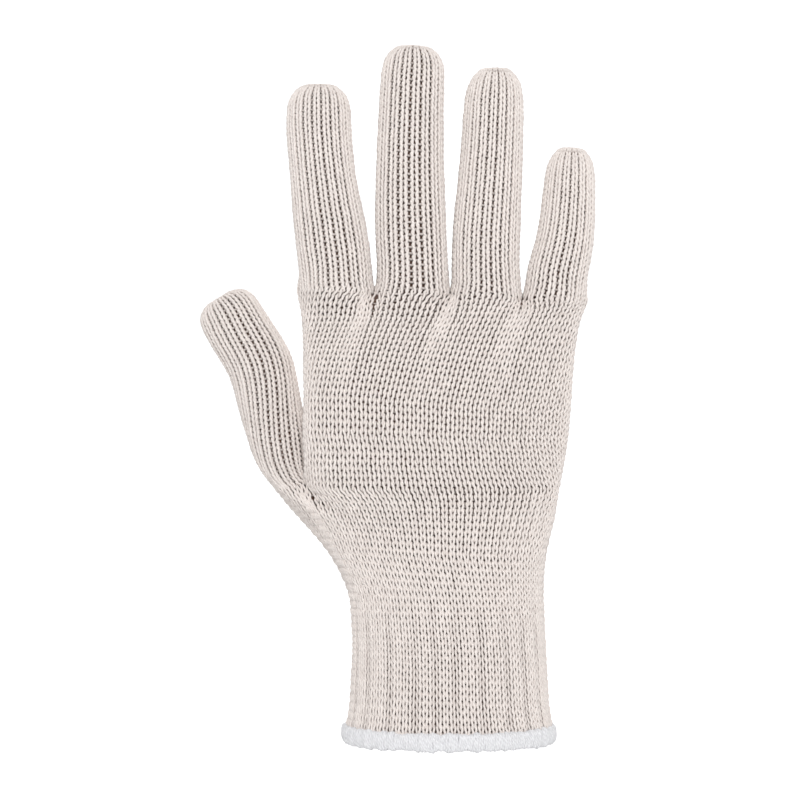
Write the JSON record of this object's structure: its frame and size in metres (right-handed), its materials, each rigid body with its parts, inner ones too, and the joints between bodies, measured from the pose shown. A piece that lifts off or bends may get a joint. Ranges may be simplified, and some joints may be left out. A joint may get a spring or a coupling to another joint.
{
  "type": "knitted work glove",
  "caption": "Worn-shape knitted liner glove: five closed fingers, a tubular palm, a ribbed wrist cuff and an overlocked hem round the open wrist.",
  "frame": {"origin": "middle of the wrist opening, at the lower edge of the hem", "axes": "+X to the little finger, +Y from the back of the hand to the palm side, +Z to the fingertips"},
  "size_m": [0.1404, 0.0582, 0.2435],
  "materials": {
    "natural_yarn": "matte, fuzzy natural cotton yarn",
    "white_yarn": "matte white overlock thread"
  },
  "bodies": {
    "root": {"index_finger": "natural_yarn", "middle_finger": "natural_yarn", "ring_finger": "natural_yarn", "little_finger": "natural_yarn", "thumb": "natural_yarn", "four_finger_palm": "natural_yarn", "five_finger_palm": "natural_yarn", "rib_cuff": "natural_yarn", "hem_edging": "white_yarn"}
  },
  "joints": []
}
